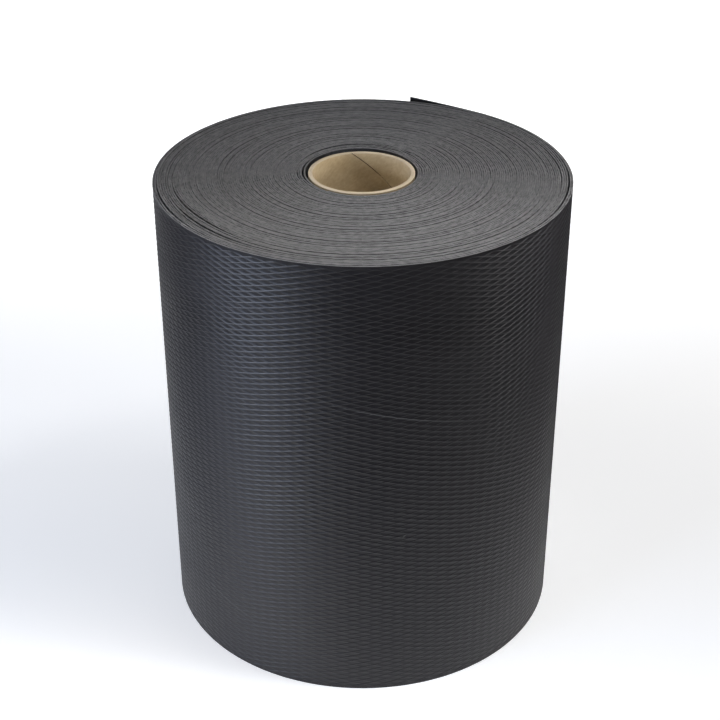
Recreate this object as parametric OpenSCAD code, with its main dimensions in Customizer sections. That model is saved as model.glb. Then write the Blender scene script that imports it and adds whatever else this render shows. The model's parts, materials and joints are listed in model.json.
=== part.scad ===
// Roll of damp proof course: a long strip of embossed plastic sheet wound on a cardboard tube.
// It stands on its end. The origin is on the axis of the tube's bore, at the floor, with +Z up.

/* [Sheet] */
// Width of the sheet, which is the height of the standing roll
sheet_width = 250; // [100:1:600]
// Thickness of the sheet over its embossing
sheet_thickness = 0.8; // [0.4:0.05:2]
// Gap between one turn and the next
turn_gap = 0.3; // [0.1:0.05:0.6]
// Whole turns on the roll
turn_count = 71; // [14:1:100]

/* [Ends] */
// Depth of the gaps that show between the tight turns
tight_depth = 0.8; // [0.2:0.1:3]
// Depth of the gaps that show between the loose outer turns
loose_depth = 2.5; // [0.5:0.1:10]
// Turns at the outside that have worked loose
loose_count = 8; // [0:1:12]

/* [Free end] */
// Length of sheet that has sprung off the roll
free_length = 42; // [10:1:80]
// Radius by which the sprung sheet bends wider than the roll
free_spring = 350; // [100:5:1000]
// Direction in which the sheet leaves the roll, counted from +X
free_angle = 54; // [0:1:359]

/* [Core tube] */
// Diameter of the tube's bore
core_bore = 50; // [25:0.5:80]
// Thickness of the tube's cardboard wall
core_wall = 2.2; // [1:0.1:8]
// Height by which the tube stands above the sheet's edge
core_rise = 1; // [0:0.1:10]
// Clearance on the side where the tube leans on the first turn
core_clear = 0.3; // [0.1:0.05:1]
// Distance by which the tube leans out of the middle of the roll
core_lean = 0.7; // [0:0.05:3]
// Direction away from which the tube leans, counted from +X
lean_angle = 75; // [0:1:359]

/* [Hidden] */
$fn = 180;

turn_pitch = sheet_thickness + turn_gap;
// Turns that are joined at a time, which keeps each seam short
band_turns = 9;
core_radius = core_bore / 2 + core_wall;
core_length = sheet_width + core_rise;
hole_radius = core_radius + core_clear + core_lean;

// Outer face of the sheet where it comes off the roll, after its last whole turn
exit_radius = hole_radius + turn_count * turn_pitch + sheet_thickness;
free_radius = exit_radius + free_spring;
free_sweep = free_length / free_radius * 180 / PI;

// Depth of the gap that follows a turn, counted from the innermost as 0
function gap_depth(turn) = turn < turn_count - loose_count ? tight_depth : loose_depth;

// Lower edge of one turn and of the gap that follows it
function turn_foot(first_radius, turn) =
    let (inner = first_radius + turn * turn_pitch)
    let (outer = inner + sheet_thickness)
    let (edge = [[inner, 0], [outer, 0]])
    let (depth = gap_depth(turn))
    let (gap = [[outer, depth], [inner + turn_pitch, depth]])
    turn < turn_count - 1 ? concat(edge, gap) : edge;

// Section through one band of turns beside the axis, with the gaps open at both ends
module wound_section(first_radius, band) {
    last = min(band + band_turns, turn_count) - 1;
    foot = [for (turn = [band : last]) each turn_foot(first_radius, turn)];
    head = [for (i = [len(foot) - 1 : -1 : 0]) [foot[i].x, sheet_width - foot[i].y]];
    polygon(concat(foot, head));
}

// The half of a band's turns that lies on the +Y side of the seam
module near_half(band) {
    rotate_extrude(angle = 180) wound_section(hole_radius, band);
}

// The other half, turned about a centre half a pitch along, so that each turn runs on into the next
module far_half(band) {
    translate([turn_pitch / 2, 0, 0])
        rotate([0, 0, 180])
            rotate_extrude(angle = 180) wound_section(hole_radius + turn_pitch / 2, band);
}

// The sprung end of the sheet, which leaves the last turn at a tangent
module free_end() {
    translate([-free_spring, 0, 0])
        rotate_extrude(angle = free_sweep)
            translate([free_radius - sheet_thickness, 0])
                square([sheet_thickness, sheet_width]);
}

// The sheet, wound as a spiral of half turns about two centres
module sheet_roll() {
    color([0.09, 0.10, 0.11])
        rotate([0, 0, lean_angle]) translate([core_lean, 0, 0])
            rotate([0, 0, free_angle - lean_angle])
                union() {
                    for (band = [0 : band_turns : turn_count - 1])
                        union() {
                            near_half(band);
                            far_half(band);
                        }
                    free_end();
                }
}

// The cardboard tube that the sheet is wound on
module core_tube() {
    color([0.76, 0.64, 0.46])
        rotate_extrude()
            translate([core_bore / 2, 0])
                square([core_wall, core_length]);
}

sheet_roll();
core_tube();
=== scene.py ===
import json
import math

import bmesh
import bpy
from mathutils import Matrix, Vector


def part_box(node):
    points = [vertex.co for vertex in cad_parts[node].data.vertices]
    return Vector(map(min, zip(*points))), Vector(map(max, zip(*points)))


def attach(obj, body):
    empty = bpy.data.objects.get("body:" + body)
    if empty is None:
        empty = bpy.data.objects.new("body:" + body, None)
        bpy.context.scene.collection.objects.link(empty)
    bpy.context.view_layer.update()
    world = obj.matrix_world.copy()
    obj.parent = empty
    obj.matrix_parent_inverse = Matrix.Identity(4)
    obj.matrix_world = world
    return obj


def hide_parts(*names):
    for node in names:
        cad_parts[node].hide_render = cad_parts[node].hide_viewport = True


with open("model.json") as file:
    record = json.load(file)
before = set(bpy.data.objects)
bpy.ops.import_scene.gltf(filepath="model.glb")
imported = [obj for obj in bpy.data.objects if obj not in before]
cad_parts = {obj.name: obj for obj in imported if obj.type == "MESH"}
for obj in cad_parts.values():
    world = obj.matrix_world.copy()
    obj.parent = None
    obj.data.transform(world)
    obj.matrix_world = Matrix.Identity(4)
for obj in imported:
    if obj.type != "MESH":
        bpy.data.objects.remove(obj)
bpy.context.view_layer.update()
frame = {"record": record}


# Core tube
# A tube of kraft paper strips, glued together as they are wound in a helix. The butt seam of the
# innermost strip slants round the bore, with painted shade in its groove, and the sawn ends show the
# paler board inside the wall. The outside of the tube is painted darker, as painted shade in the gap by
# the sheet.
bore_mount = next(m for m in frame["record"]["mounts"] if m["name"] == "core_bore")
bore_radius = bore_mount["dims"]["r_mm"] / 1000
core_low, core_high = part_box("core_tube")
core_length = core_high.z - core_low.z
core_wall = (core_high.x - core_low.x) / 2 - bore_radius
core_steps = 120
core_rows = 20
core_smooth = math.radians(40)
rim_round = 0.0005
seam_slope = math.radians(38)
seam_direction = math.radians(102.5)
seam_width = 0.0004
seam_depth = 0.0011
seam_slant = 0.3
kraft_light = (0.54, 0.425, 0.262, 1)
kraft_dark = (0.40, 0.298, 0.165, 1)
board_light = (0.62, 0.52, 0.38, 1)
board_dark = (0.50, 0.41, 0.285, 1)
# Painted shade: the seam's groove is painted a dark brown, standing in for the shadow inside the joint.
seam_shade_brown = (0.14, 0.10, 0.055, 1)
# Painted shade: the tube's outside is darker, standing in for the shadow in the gap between the tube and
# the first turns.
outer_shade_light = (0.26, 0.20, 0.115, 1)
outer_shade_dark = (0.17, 0.125, 0.07, 1)
paper_streak = (500, 900, 900)
paper_blotch = 110
paper_rough = (0.8, 0.9)
paper_relief = 0.3
paper_shine = 0.2
seam_rough = (0.9, 0.95)
seam_shine = 0.1
board_streak = (300, 300, 2600)
board_blotch = 120
board_rough = (0.85, 0.95)
board_relief = 0.4
board_shine = 0.15
grain_height = 0.0003
grain_range = (0.32, 0.68)
# Places nearer than this count as one
close = seam_width / 50
# A face whose normal has this share along an axis faces it, and an edge is sharp over this angle
facing = 0.9
sharp_angle = 1


def work_on(piece):
    """Makes a piece the only selected object, and the active one."""
    bpy.ops.object.select_all(action="DESELECT")
    piece.select_set(True)
    bpy.context.view_layer.objects.active = piece


def start_piece(name):
    """Names the primitive that was just added, and puts its place and turn into its mesh."""
    piece = bpy.context.object
    piece.name = piece.data.name = name
    work_on(piece)
    bpy.ops.object.transform_apply(location=True, rotation=True, scale=True)
    return piece


def pick(piece, kind, test):
    """Selects in edit mode only the verts, edges or faces that pass a test."""
    bpy.ops.mesh.select_mode(type={"verts": "VERT", "edges": "EDGE", "faces": "FACE"}[kind])
    bpy.ops.mesh.select_all(action="DESELECT")
    shape = bmesh.from_edit_mesh(piece.data)
    shape.normal_update()
    for part in getattr(shape, kind):
        part.select_set(test(part))
    bmesh.update_edit_mesh(piece.data)


def at_rim(edge):
    """True for a sharp edge where a level face meets an upright one."""
    level = abs(sum(face.normal.z for face in edge.link_faces)) > facing
    return level and edge.calc_face_angle(0) > sharp_angle


def press_flat(depth):
    """Presses what is selected onto the upright plane at a depth."""
    bpy.ops.transform.resize(value=(1, 0, 1), center_override=(0, depth, 0))


def apply(piece, kind, **settings):
    """Adds a modifier to a piece and applies it."""
    work_on(piece)
    modifier = piece.modifiers.new(kind.lower(), kind)
    for name, value in settings.items():
        setattr(modifier, name, value)
    bpy.ops.object.modifier_apply(modifier=modifier.name)


def wind(piece, points, closed=False):
    """Winds a flat strip along a path: its X follows the path, and its Y points to the inside."""
    line = bpy.data.curves.new("path", "CURVE")
    line.dimensions = "3D"
    line.twist_mode = "Z_UP"
    run = line.splines.new("POLY")
    run.use_cyclic_u = closed
    run.points.add(len(points) - 1)
    for point, place in zip(run.points, points):
        point.co = (*place, 1)
    path = bpy.data.objects.new("path", line)
    bpy.context.collection.objects.link(path)
    apply(piece, "CURVE", object=path, deform_axis="POS_X")
    bpy.data.objects.remove(path)
    bpy.data.curves.remove(line)


def set_inputs(tree, node, inputs):
    """Sets a node's inputs, each to a plain value or to another node's output."""
    for name, value in inputs.items():
        if isinstance(value, bpy.types.NodeSocket):
            tree.links.new(value, node.inputs[name])
        else:
            node.inputs[name].default_value = value


def put(tree, kind, inputs, **settings):
    """Adds a shader node and gives its first output."""
    node = tree.nodes.new("ShaderNode" + kind)
    for name, value in settings.items():
        setattr(node, name, value)
    set_inputs(tree, node, inputs)
    return node.outputs[0]


def put_maths(tree, operation, first, second=0.0):
    """Adds a step of arithmetic on two numbers, or on one."""
    return put(tree, "Math", {0: first, 1: second}, operation=operation)


def put_vectors(tree, operation, first, second=(0, 0, 0)):
    """Adds a step of arithmetic on two vectors, or on one."""
    node = tree.nodes.new("ShaderNodeVectorMath")
    node.operation = operation
    set_inputs(tree, node, {0: first, 1: second})
    return node.outputs["Value" if operation in ("LENGTH", "DOT_PRODUCT", "DISTANCE") else "Vector"]


def put_colours(tree, share, first, second):
    """Adds a mix of two colours, which goes from the first to the second."""
    node = tree.nodes.new("ShaderNodeMix")
    node.data_type = "RGBA"
    factor, ends = node.inputs["Factor"], [s for s in node.inputs if s.type == "RGBA"]
    for socket, value in zip((factor, *ends), (share, first, second)):
        if isinstance(value, bpy.types.NodeSocket):
            tree.links.new(value, socket)
        else:
            socket.default_value = value
    return next(s for s in node.outputs if s.type == "RGBA")


def put_group(tree, group, inputs):
    """Places a node group in a tree."""
    node = tree.nodes.new("ShaderNodeGroup")
    node.node_tree = group
    set_inputs(tree, node, inputs)
    return node.outputs


def start_group(name, inputs, outputs):
    """Starts a shader node group with named sockets, and gives its inside ends too."""
    group = bpy.data.node_groups.new(name, "ShaderNodeTree")
    for socket, kind in inputs.items():
        group.interface.new_socket(socket, in_out="INPUT", socket_type="NodeSocket" + kind)
    for socket, kind in outputs.items():
        group.interface.new_socket(socket, in_out="OUTPUT", socket_type="NodeSocket" + kind)
    return group, group.nodes.new("NodeGroupInput").outputs, group.nodes.new("NodeGroupOutput").inputs


def unrolled_group():
    """Unrolls a round piece: metres round the upright axis at a radius, then up, then out."""
    group, given, made = start_group(
        "Unrolled", {"Vector": "Vector", "Radius": "Float"}, {"Strip": "Vector"}
    )
    apart = group.nodes.new("ShaderNodeSeparateXYZ")
    group.links.new(given["Vector"], apart.inputs[0])
    flat = put(group, "CombineXYZ", {"X": apart.outputs["X"], "Y": apart.outputs["Y"]})
    angle = put_maths(group, "ARCTAN2", apart.outputs["X"], apart.outputs["Y"])
    arc = put_maths(group, "MULTIPLY", angle, given["Radius"])
    out = put_vectors(group, "LENGTH", flat)
    strip = put(group, "CombineXYZ", {"X": arc, "Y": apart.outputs["Z"], "Z": out})
    group.links.new(strip, made["Strip"])
    return group


def grain_group():
    """Fine streaks and soft blotches on a strip, as a shade from 0 to 1 and a height."""
    group, given, made = start_group(
        "Streaky grain",
        {"Vector": "Vector", "Streak": "Vector", "Blotch": "Float"},
        {"Shade": "Float", "Height": "Float"},
    )
    stretched = put_vectors(group, "MULTIPLY", given["Vector"], given["Streak"])
    streak = put(group, "TexNoise", {"Vector": stretched, "Scale": 1.0, "Detail": 4.0})
    blotch = put(group, "TexNoise", {"Vector": given["Vector"], "Scale": given["Blotch"], "Detail": 2.0})
    mean = put_maths(group, "MULTIPLY", put_maths(group, "ADD", streak, blotch), 0.5)
    least, most = grain_range
    shade = put(group, "MapRange", {"Value": mean, "From Min": least, "From Max": most})
    group.links.new(shade, made["Shade"])
    group.links.new(streak, made["Height"])
    return group


unrolled = unrolled_group()
streaky_grain = grain_group()


def grained_finish(name, radius, lie, streak, blotch, colours, rough, relief, shine):
    """A material with grain in its colour, roughness and height, which lies at an angle on a strip."""
    finish = bpy.data.materials.new(name)
    finish.use_nodes = True
    tree = finish.node_tree
    shader = tree.nodes["Principled BSDF"]
    shader.inputs["Specular IOR Level"].default_value = shine
    here = tree.nodes.new("ShaderNodeTexCoord").outputs["Object"]
    strip = put_group(tree, unrolled, {"Vector": here, "Radius": radius})["Strip"]
    along = put(tree, "Mapping", {"Vector": strip, "Rotation": (0, 0, -lie)})
    grain = put_group(tree, streaky_grain, {"Vector": along, "Streak": streak, "Blotch": blotch})
    colour = put_colours(tree, grain["Shade"], *colours)
    smoothest, roughest = rough
    roughness = put(tree, "MapRange", {"Value": grain["Shade"], "To Min": smoothest, "To Max": roughest})
    bump = {"Height": grain["Height"], "Strength": relief, "Distance": grain_height}
    normal = put(tree, "Bump", bump)
    set_inputs(tree, shader, {"Base Color": colour, "Roughness": roughness, "Normal": normal})
    return finish


def wound_paper(name, colours, rough, shine):
    """A strip of paper on the tube, with its grain along the helix."""
    return grained_finish(
        name,
        radius=bore_radius,
        lie=seam_slope,
        streak=paper_streak,
        blotch=paper_blotch,
        colours=colours,
        rough=rough,
        relief=paper_relief,
        shine=shine,
    )


core_step = 2 * bore_radius * math.sin(math.pi / core_steps)
core_round = core_steps * core_step
seam_lead = core_round * math.tan(seam_slope)
seam_normal = Vector((-math.sin(seam_slope), 0, math.cos(seam_slope)))
seam_passes = [
    Vector((bore_radius * seam_direction, 0, core_length - k * seam_lead))
    for k in range(math.ceil(core_length / seam_lead) + 1)
]

bpy.ops.object.select_all(action="DESELECT")
bpy.ops.mesh.primitive_grid_add(
    x_subdivisions=core_steps,
    y_subdivisions=core_rows,
    size=1,
    location=(0.5, 0, 0.5),
    rotation=(math.radians(90), 0, 0),
)
core = start_piece("cardboard_core")
bpy.ops.object.mode_set(mode="EDIT")
bpy.ops.transform.resize(value=(core_round, 1, core_length), center_override=(0, 0, 0))
for seam in seam_passes:
    for side in (-seam_width / 2, 0, seam_width / 2):
        bpy.ops.mesh.select_all(action="SELECT")
        bpy.ops.mesh.bisect(plane_co=seam + side * seam_normal, plane_no=seam_normal)
pick(core, "verts", lambda v: any(abs((v.co - s).dot(seam_normal)) < close for s in seam_passes))
bpy.ops.transform.translate(value=(0, -seam_depth, 0))
bpy.ops.mesh.select_all(action="SELECT")
bpy.ops.mesh.extrude_region_move()
press_flat(-core_wall)
pick(core, "faces", lambda f: abs(f.normal.x) > facing)
bpy.ops.mesh.delete(type="FACE")
bpy.ops.object.mode_set(mode="OBJECT")
core_angles = [2 * math.pi * k / core_steps for k in range(core_steps)]
core_path = [(bore_radius * math.cos(a), bore_radius * math.sin(a), 0) for a in core_angles]
wind(core, core_path, closed=True)
bpy.ops.object.mode_set(mode="EDIT")
bpy.ops.mesh.select_all(action="SELECT")
bpy.ops.mesh.remove_doubles(threshold=close)
bpy.ops.mesh.normals_make_consistent(inside=False)
pick(core, "edges", at_rim)
bpy.ops.mesh.bevel(offset=rim_round, segments=2, affect="EDGES")
bpy.ops.mesh.select_all(action="SELECT")
bpy.ops.mesh.dissolve_degenerate(threshold=close)
bpy.ops.object.mode_set(mode="OBJECT")
bpy.ops.object.shade_smooth_by_angle(angle=core_smooth)
kraft_paper = wound_paper("kraft_paper", (kraft_dark, kraft_light), paper_rough, paper_shine)
sawn_board = grained_finish(
    "sawn_board",
    radius=bore_radius,
    lie=0,
    streak=board_streak,
    blotch=board_blotch,
    colours=(board_dark, board_light),
    rough=board_rough,
    relief=board_relief,
    shine=board_shine,
)
# The groove faces of the seam take a dark brown as painted shade inside the joint.
seam_gap = wound_paper("seam_gap", (seam_shade_brown, seam_shade_brown), seam_rough, seam_shine)
# The outside of the tube takes the darker brown as painted shade.
outer_paper = wound_paper("outer_paper", (outer_shade_dark, outer_shade_light), paper_rough, paper_shine)
core_finishes = [kraft_paper, sawn_board, seam_gap, outer_paper]
for finish in core_finishes:
    core.data.materials.append(finish)
for face in core.data.polygons:
    if abs(face.center.z - core_length / 2) > core_length / 2 - rim_round:
        face.material_index = core_finishes.index(sawn_board)
    elif abs(face.normal.z) > seam_slant:
        face.material_index = core_finishes.index(seam_gap)
    elif face.center.xy.length > bore_radius + core_wall / 2:
        face.material_index = core_finishes.index(outer_paper)
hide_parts("core_tube")
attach(core, "root")


# Wound turns
# The black polyethylene sheet, wound turn on turn from the core to the last turn but one. Only its
# sheared edges show, matt and paler than the faces, with gaps where turns have worked loose. Its faces
# are painted paler than the black sheet, as painted light in the gaps between turns.
roll_low, roll_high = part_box("sheet_roll")
sheet_width = roll_high.z - roll_low.z
sheet_thickness = 0.0008
turn_pitch = 0.0011
turn_count = 71
core_clear = 0.0003
core_lean = 0.0007
lean_angle = math.radians(75)
free_angle = math.radians(54)
hole_radius = bore_radius + core_wall + core_clear + core_lean
lattice_length = 0.0116
path_steps = 120
pocket_depth = 0.00025
turn_squeeze = 0.00007
edge_round = 0.00012
edge_slant = 0.3
# Painted light: the faces of the wound turns are a paler grey than the black sheet, so that the gaps
# between turns show lit.
inner_lit_light = (0.050, 0.050, 0.052, 1)
inner_lit_dark = (0.025, 0.025, 0.026, 1)
edge_light = (0.222, 0.219, 0.219, 1)
edge_dark = (0.092, 0.091, 0.092, 1)
edge_streak = (1100, 900, 1500)
edge_blotch = 420
edge_rough = (0.65, 0.85)
edge_relief = 0.5
edge_shine = 0.3
sheet_streak = (500, 700, 700)
sheet_blotch = 40
inner_rough = (0.45, 0.6)
inner_relief = 0.3
inner_shine = 0.3
# Each turn strays a little in and out, and up. A wave: its shift from turn to turn, and its count round
turn_stray = 0.000035
turn_waves = [(2.4, 3), (5.1, -2)]
edge_stray = 0.0004
edge_waves = [(2.1, 1), (3.7, -2)]
# Each gap: the turn it lies under, its direction and half its span in degrees, and its opening. Gaps
# by the core push the turns over them out, and gaps by the rim let the turns under them sag in.
core_gaps = [
    (0, 103, 84, 0.0033),
    (0, 188, 36, -0.0006),
    (0, 355, 60, -0.0008),
    (0, 215, 40, -0.0007),
    (4, 88, 75, 0.0013),
    (5, 92, 70, 0.0011),
    (2, 182, 40, 0.0009),
    (4, 185, 30, 0.0003),
    (2, 8, 34, 0.0003),
    (3, 275, 70, 0.0003),
    (33, 2, 12, 0.0003),
    (38, 162, 26, 0.0003),
]
rim_gaps = [
    (62, 218, 34, 0.0013),
    (65, 222, 32, 0.0012),
    (69, 205, 30, 0.0007),
    (64, 168, 30, 0.0005),
    (67, 290, 34, 0.0005),
    (69, 345, 40, 0.0006),
    (66, 10, 34, 0.0004),
    (68, 15, 30, 0.0003),
]
# Turns over which the push and the sag die away
core_spread = 56
rim_spread = 20


def opening(angle, direction, half_span, widest):
    """Opening of a gap at an angle: widest in its direction, and closed at the ends of its span."""
    away = math.remainder(angle - math.radians(direction), 2 * math.pi) / math.radians(half_span)
    return widest * math.cos(away * math.pi / 2) ** 2 if abs(away) < 1 else 0


def waviness(waves, turn, angle):
    """Sum of the waves round a turn, at an angle."""
    return sum(math.sin(shift * turn + count * angle) for shift, count in waves)


def loosened(turn, angle):
    """How far a turn stands out of its even place, for its own stray and for the gaps near it."""
    shift = turn_stray * waviness(turn_waves, turn, angle)
    for over, *gap in core_gaps:
        if turn >= over:
            shift += opening(angle, *gap) * max(0, 1 - (turn - over) / core_spread)
    for over, *gap in rim_gaps:
        if turn < over:
            shift -= opening(angle, *gap) * max(0, 1 - (over - 1 - turn) / rim_spread)
    return shift


def arc_place(centre, reach, angle):
    """A place on an arc whose centre lies off the roll's axis, by a distance towards the free end."""
    x = core_lean * math.cos(lean_angle) + centre * math.cos(free_angle) + reach * math.cos(angle)
    y = core_lean * math.sin(lean_angle) + centre * math.sin(free_angle) + reach * math.sin(angle)
    return x, y


def turn_place(count, offset):
    """A place on the sheet, counted in turns from the core, at an offset out from its inner face."""
    turn, part = divmod(count, 1)
    angle = free_angle + 2 * math.pi * part
    step = turn_pitch / 2 if part >= 0.5 else 0
    reach = hole_radius + turn * turn_pitch + step + offset + loosened(turn, angle)
    rise = edge_stray * (1 + waviness(edge_waves, turn, angle) / 2) / 2
    return (*arc_place(step, reach, angle), rise)


def path_length(points):
    """Length of a path of straight steps."""
    return sum(math.dist(a, b) for a, b in zip(points, points[1:]))


def along_strip(count, step):
    """Settings of an array that repeats a piece by one step."""
    return dict(
        count=count,
        use_relative_offset=False,
        use_constant_offset=True,
        constant_offset_displace=step,
    )


turn_thickness = turn_pitch - turn_squeeze
inner_turns = turn_count - 1
inner_path = [
    turn_place(k / path_steps, turn_thickness / 2)
    for k in range(path_steps // 2, inner_turns * path_steps)
]
pocket_length = lattice_length / 2
pocket_count = int(path_length(inner_path) / pocket_length)

bpy.ops.object.select_all(action="DESELECT")
bpy.ops.mesh.primitive_cube_add(
    size=1,
    location=(pocket_length / 2, 0, sheet_width / 2),
    scale=(pocket_length, turn_thickness, sheet_width),
)
turns = start_piece("wound_turns")
bpy.ops.object.mode_set(mode="EDIT")
pick(turns, "faces", lambda f: abs(f.normal.x) > facing)
bpy.ops.mesh.delete(type="ONLY_FACE")
pick(turns, "edges", lambda e: abs(e.verts[0].co.x - e.verts[1].co.x) > pocket_length / 2)
bpy.ops.mesh.bevel(offset=edge_round, segments=1, affect="EDGES")
bpy.ops.mesh.select_all(action="SELECT")
bpy.ops.mesh.bisect(plane_co=(pocket_length / 2, 0, 0), plane_no=(1, 0, 0))
pick(turns, "verts", lambda v: abs(v.co.x - pocket_length / 2) < close and v.co.y < -turn_thickness / 4)
bpy.ops.transform.translate(value=(0, pocket_depth, 0))
bpy.ops.object.mode_set(mode="OBJECT")
apply(
    turns,
    "ARRAY",
    use_merge_vertices=True,
    merge_threshold=close,
    **along_strip(pocket_count, (pocket_length, 0, 0)),
)
bpy.ops.object.mode_set(mode="EDIT")
pick(turns, "edges", lambda e: e.is_boundary)
bpy.ops.mesh.edge_face_add()
bpy.ops.mesh.select_all(action="SELECT")
bpy.ops.mesh.normals_make_consistent(inside=False)
bpy.ops.object.mode_set(mode="OBJECT")
cut_edge = grained_finish(
    "cut_edge",
    radius=hole_radius,
    lie=0,
    streak=edge_streak,
    blotch=edge_blotch,
    colours=(edge_dark, edge_light),
    rough=edge_rough,
    relief=edge_relief,
    shine=edge_shine,
)
# The faces of the wound turns take a paler grey than the black sheet, as painted light in the gaps.
inner_face = grained_finish(
    "inner_face",
    radius=hole_radius,
    lie=0,
    streak=sheet_streak,
    blotch=sheet_blotch,
    colours=(inner_lit_dark, inner_lit_light),
    rough=inner_rough,
    relief=inner_relief,
    shine=inner_shine,
)
turn_finishes = [cut_edge, inner_face]
for finish in turn_finishes:
    turns.data.materials.append(finish)
for face in turns.data.polygons:
    finish = cut_edge if abs(face.normal.z) > edge_slant else inner_face
    face.material_index = turn_finishes.index(finish)
wind(turns, inner_path)
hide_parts("sheet_roll")
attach(turns, "root")


# Last turn
# The outermost turn and the sprung free end, the only stretch whose face shows. The sheet is
# embossed with a close lattice of slanting ridges as it leaves the extruder.
free_length = 0.042
free_spring = 0.350
free_steps = 12
lattice_rows = 85
lattice_height = sheet_width / lattice_rows
plain_margin = 0.0012
ridge_flank = 0.0004
ridge_depth = 0.0002
ridge_smooth = math.radians(20)
falling_sag = 0.00014
cut_slant = 0.6
sheet_black = (0.0057, 0.0048, 0.0060, 1)
sheet_dusty = (0.0094, 0.0080, 0.0096, 1)
sheet_rough = (0.38, 0.50)
sheet_relief = 0.15
sheet_shine = 0.43
scuff_grey = (0.07, 0.07, 0.068, 1)
# Shares of a mark's width where it starts to fade and is gone, of its length where an end starts to
# fade, and of its strength that is left at the end
scuff_full = 0.2
scuff_gone = 0.6
scuff_taper = 0.3
scuff_end = 0.4
# Each mark: direction in degrees and height where it starts, the same where it ends, and its width
scuff_marks = [
    (261.7, 0.1762, 297.1, 0.1607, 0.0004),
    (218.7, 0.0404, 236.8, 0.0322, 0.0003),
    (280.6, 0.0980, 281.4, 0.0994, 0.0008),
    (300.6, 0.0953, 301.0, 0.0954, 0.0006),
]


def free_place(length):
    """A place on the outer face of the sprung free end, by its length from where it leaves the roll."""
    reach = hole_radius + turn_count * turn_pitch + sheet_thickness + free_spring
    return (*arc_place(-free_spring, reach, free_angle + length / reach), 0)


def scuff_group():
    """A straight mark on the unrolled sheet, which fades to its sides and its ends."""
    group, given, made = start_group(
        "Scuff",
        {"Vector": "Vector", "Start": "Vector", "End": "Vector", "Width": "Float"},
        {"Mask": "Float"},
    )
    whole = put_vectors(group, "SUBTRACT", given["End"], given["Start"])
    part = put_vectors(group, "SUBTRACT", given["Vector"], given["Start"])
    square = put_vectors(group, "DOT_PRODUCT", whole, whole)
    share = put_maths(group, "DIVIDE", put_vectors(group, "DOT_PRODUCT", part, whole), square)
    held = put(group, "Clamp", {"Value": share})
    nearest = put(group, "CombineXYZ", {"X": held, "Y": held, "Z": held})
    nearest = put_vectors(group, "MULTIPLY", nearest, whole)
    gap = put_vectors(group, "DISTANCE", part, nearest)
    side = put_maths(group, "DIVIDE", gap, given["Width"])
    fade = {"From Min": scuff_full, "From Max": scuff_gone, "To Min": 1.0, "To Max": 0.0}
    mask = put(group, "MapRange", {"Value": side, **fade})
    ends = put_maths(group, "PINGPONG", held, 0.5)
    soft = put(group, "MapRange", {"Value": ends, "From Max": scuff_taper, "To Min": scuff_end})
    group.links.new(put_maths(group, "MULTIPLY", mask, soft), made["Mask"])
    return group


last_path = [turn_place(inner_turns + k / path_steps, sheet_thickness) for k in range(path_steps)]
last_path = [(x, y, 0) for x, y, rise in last_path]
last_path += [free_place(free_length * k / free_steps) for k in range(free_steps + 1)]
last_length = path_length(last_path)
round_length = path_length(last_path[:path_steps + 1])


def strip_place(direction, height):
    """A place on the flat sheet, from its direction in degrees and its height on the roll."""
    return (round_length * ((direction - math.degrees(free_angle)) % 360) / 360, height, 0)


def embossed_finish():
    """The sheet's own face: black and satin, a little dusty, with a few pale scuffs along the ridges."""
    finish = grained_finish(
        "embossed_face",
        radius=hole_radius,
        lie=0,
        streak=sheet_streak,
        blotch=sheet_blotch,
        colours=(sheet_black, sheet_dusty),
        rough=sheet_rough,
        relief=sheet_relief,
        shine=sheet_shine,
    )
    tree = finish.node_tree
    shader = tree.nodes["Principled BSDF"]
    unmarked = shader.inputs["Base Color"].links[0].from_socket
    scuff = scuff_group()
    flat = put(tree, "UVMap", {}, uv_map="flat_sheet")
    marks = 0.0
    for direction, height, end_direction, end_height, width in scuff_marks:
        ends = {"Start": strip_place(direction, height), "End": strip_place(end_direction, end_height)}
        mark = put_group(tree, scuff, {"Vector": flat, "Width": width, **ends})["Mask"]
        marks = put_maths(tree, "MAXIMUM", mark, marks)
    set_inputs(tree, shader, {"Base Color": put_colours(tree, marks, unmarked, scuff_grey)})
    return finish


def falls(edge):
    """True for the two edges of one diamond of the lattice that fall to the right."""
    middle = edge.verts[0].co + edge.verts[1].co
    return middle.x * middle.z > 0


bpy.ops.object.select_all(action="DESELECT")
bpy.ops.mesh.primitive_plane_add(size=1, rotation=(math.radians(90), math.radians(45), 0))
last = start_piece("embossed_last_turn")
bpy.ops.object.mode_set(mode="EDIT")
bpy.ops.mesh.select_all(action="SELECT")
bpy.ops.transform.resize(value=(lattice_length / math.sqrt(2), 1, lattice_height / math.sqrt(2)))
pick(last, "edges", falls)
bpy.ops.mesh.subdivide(number_cuts=1)
bpy.ops.mesh.select_all(action="SELECT")
bpy.ops.mesh.inset(thickness=ridge_flank, depth=-ridge_depth)
pick(last, "verts", lambda v: abs(v.co.y) < close and v.co.x * v.co.z > close * close)
bpy.ops.transform.translate(value=(0, falling_sag, 0))
bpy.ops.mesh.select_all(action="SELECT")
bpy.ops.mesh.duplicate_move(TRANSFORM_OT_translate={"value": (lattice_length / 2, 0, lattice_height / 2)})
bpy.ops.object.mode_set(mode="OBJECT")
apply(last, "ARRAY", **along_strip(math.ceil(last_length / lattice_length) + 1, (lattice_length, 0, 0)))
apply(last, "ARRAY", **along_strip(lattice_rows + 1, (0, 0, lattice_height)))
bpy.ops.object.mode_set(mode="EDIT")
bpy.ops.mesh.select_all(action="SELECT")
bpy.ops.mesh.remove_doubles(threshold=close)
for place, normal in (
    ((0, 0, 0), (0, 0, -1)),
    ((0, 0, sheet_width), (0, 0, 1)),
    ((0, 0, 0), (-1, 0, 0)),
    ((last_length, 0, 0), (1, 0, 0)),
):
    bpy.ops.mesh.select_all(action="SELECT")
    bpy.ops.mesh.bisect(plane_co=place, plane_no=normal, clear_outer=True)
pick(last, "verts", lambda v: abs(v.co.z - sheet_width / 2) > sheet_width / 2 - plain_margin)
press_flat(0)
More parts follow.
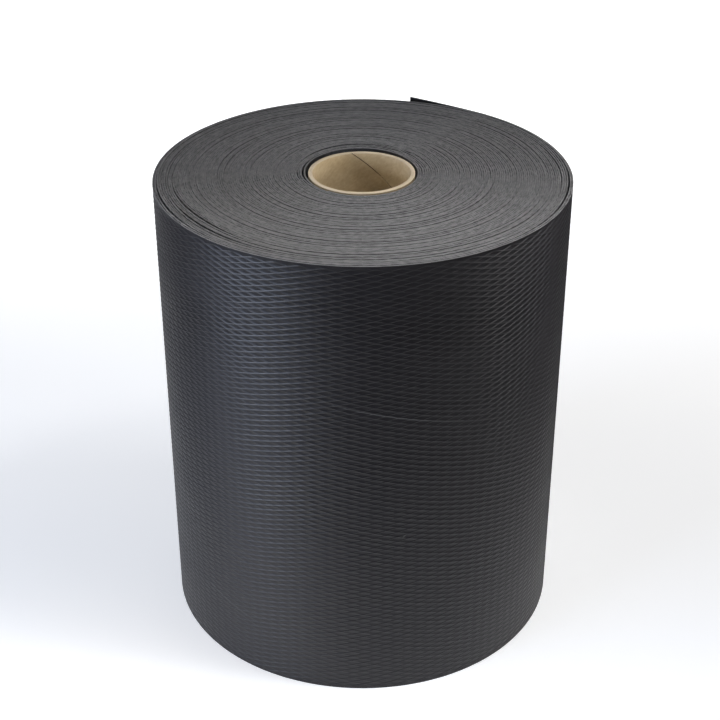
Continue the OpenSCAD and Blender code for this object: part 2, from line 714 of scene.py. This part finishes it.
for height in (0, sheet_width):
    pick(last, "edges", lambda e: e.is_boundary and all(abs(v.co.z - height) < close for v in e.verts))
    bpy.ops.mesh.extrude_edges_move()
    press_flat(sheet_thickness)
pick(last, "edges", lambda e: e.is_boundary and all(v.co.y > sheet_thickness - close for v in e.verts))
bpy.ops.mesh.bridge_edge_loops()
for end in (0, last_length):
    pick(last, "edges", lambda e: e.is_boundary and all(abs(v.co.x - end) < close for v in e.verts))
    bpy.ops.mesh.edge_face_add()
bpy.ops.mesh.select_all(action="SELECT")
bpy.ops.mesh.normals_make_consistent(inside=False)
pick(last, "edges", at_rim)
bpy.ops.mesh.bevel(offset=edge_round, segments=1, affect="EDGES")
bpy.ops.object.mode_set(mode="OBJECT")
flat_sheet = last.data.uv_layers.new(name="flat_sheet")
for corner in last.data.loops:
    flat_sheet.data[corner.index].uv = last.data.vertices[corner.vertex_index].co.xz
embossed_face = embossed_finish()
last_finishes = [embossed_face, cut_edge]
for finish in last_finishes:
    last.data.materials.append(finish)
for face in last.data.polygons:
    finish = cut_edge if abs(face.normal.z) > cut_slant else embossed_face
    face.material_index = last_finishes.index(finish)
wind(last, last_path)
bpy.ops.object.shade_smooth_by_angle(angle=ridge_smooth)
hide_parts("sheet_roll")
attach(last, "root")


# Floor
# A plain pale table top that the roll stands on, which glows faintly so that it shows white. It ends
# a little way in front of the roll and at its sides, so that only the roll's lower part mirrors it.
floor_width = 2.1
floor_depth = 4
floor_front = 0.28
front_width = 0.44
floor_shift = 0.05
floor_glow = 0.47
floor_rough = 0.9
floor_shine = 0.1
floor_white = (0.90, 0.90, 0.90, 1)

bpy.ops.object.select_all(action="DESELECT")
bpy.ops.mesh.primitive_plane_add(size=1)
floor = start_piece("floor")
bpy.ops.object.mode_set(mode="EDIT")
bpy.ops.transform.resize(value=(floor_width, floor_depth, 1), center_override=(0, 0, 0))
bpy.ops.transform.translate(value=(0, floor_depth / 2 - floor_front, 0))
pick(floor, "verts", lambda v: v.co.y < 0)
bpy.ops.transform.resize(value=(front_width / floor_width, 1, 1), center_override=(0, 0, 0))
bpy.ops.mesh.select_all(action="SELECT")
bpy.ops.transform.translate(value=(-floor_shift, 0, 0))
bpy.ops.object.mode_set(mode="OBJECT")
floor_paint = bpy.data.materials.new("floor_paint")
floor_paint.use_nodes = True
set_inputs(
    floor_paint.node_tree,
    floor_paint.node_tree.nodes["Principled BSDF"],
    {
        "Base Color": floor_white,
        "Roughness": floor_rough,
        "Specular IOR Level": floor_shine,
        "Emission Color": floor_white,
        "Emission Strength": floor_glow,
    },
)
floor.data.materials.append(floor_paint)


# Light and camera
# Soft boxes stand round the roll: one above its front right, two that face its upper end, two cool
# ones low on the left, two on the right, and two over the floor. The camera looks down at the roll
# from the front.
view_distance = 0.7156
view_height = 0.5564
view_pitch = math.radians(30.19)
view_lens = 76.05
view_shift = (-0.0023, 0.0006)
roll_middle = (0, 0, 0.15)
roll_top = (0.02, -0.09, 0.25)
floor_behind = (0, 0.95, 0)
floor_left = (-0.16, -0.23, 0)
room_light = 0.08
plain_white = (1, 1, 1)
warm_white = (1, 0.96, 0.9)
pale_yellow = (1, 0.9, 0.75)
pale_violet = (0.95, 0.94, 1)
sky_blue = (0.68, 0.78, 1)
# Each soft box: what it faces, its azimuth to the right of the camera and its elevation in degrees,
# its distance, width and height, its power in watts, its colour, and its spread in degrees
soft_boxes = {
    "key_light": (roll_middle, 45, 52, 0.38, 0.15, 0.15, 0.26, plain_white, 180),
    "high_light": (roll_top, 85, 62, 0.7, 0.2, 0.2, 0.135, plain_white, 36),
    "bore_light": (roll_top, -85, 30, 0.7, 0.2, 0.2, 0.08, warm_white, 28),
    "left_light": (roll_middle, -48, 8, 1.1, 0.3, 0.4, 5.0, sky_blue, 180),
    "window_light": (roll_middle, -65, 8, 1.1, 0.3, 0.4, 5.8, sky_blue, 180),
    "right_light": (roll_middle, 68, 12, 1.1, 0.3, 0.4, 2.4, plain_white, 180),
    "side_light": (roll_middle, 90, 16, 1.1, 0.3, 0.4, 2.8, pale_violet, 180),
    "floor_light": (floor_behind, 0, 89, 1.2, 1.4, 0.8, 5.5, plain_white, 75),
    "corner_light": (floor_left, 0, 89, 0.9, 0.15, 0.15, 0.1, pale_yellow, 25),
}


def place_soft_box(name, aim, azimuth, elevation, distance, width, height, power, colour, spread):
    """An area light that faces a place."""
    lamp = bpy.data.lights.new(name, "AREA")
    lamp.shape = "RECTANGLE"
    lamp.size = width
    lamp.size_y = height
    lamp.energy = power
    lamp.color = colour
    lamp.spread = math.radians(spread)
    holder = bpy.data.objects.new(name, lamp)
    bpy.context.collection.objects.link(holder)
    level = distance * math.cos(math.radians(elevation))
    away = Vector((
        level * math.sin(math.radians(azimuth)),
        -level * math.cos(math.radians(azimuth)),
        distance * math.sin(math.radians(elevation)),
    ))
    holder.location = away + Vector(aim)
    holder.rotation_euler = (-away).to_track_quat("-Z", "Y").to_euler()


for box_name, box_settings in soft_boxes.items():
    place_soft_box(box_name, *box_settings)

studio = bpy.data.worlds.new("studio")
studio.use_nodes = True
studio.node_tree.nodes["Background"].inputs["Color"].default_value = (*plain_white, 1)
studio.node_tree.nodes["Background"].inputs["Strength"].default_value = room_light
bpy.context.scene.world = studio
bpy.context.scene.view_settings.view_transform = "Standard"

lens = bpy.data.cameras.new("camera")
lens.lens = view_lens
lens.shift_x, lens.shift_y = view_shift
camera = bpy.data.objects.new("camera", lens)
bpy.context.collection.objects.link(camera)
camera.location = (0, -view_distance, view_height)
camera.rotation_euler = (math.pi / 2 - view_pitch, 0, 0)
bpy.context.scene.camera = camera
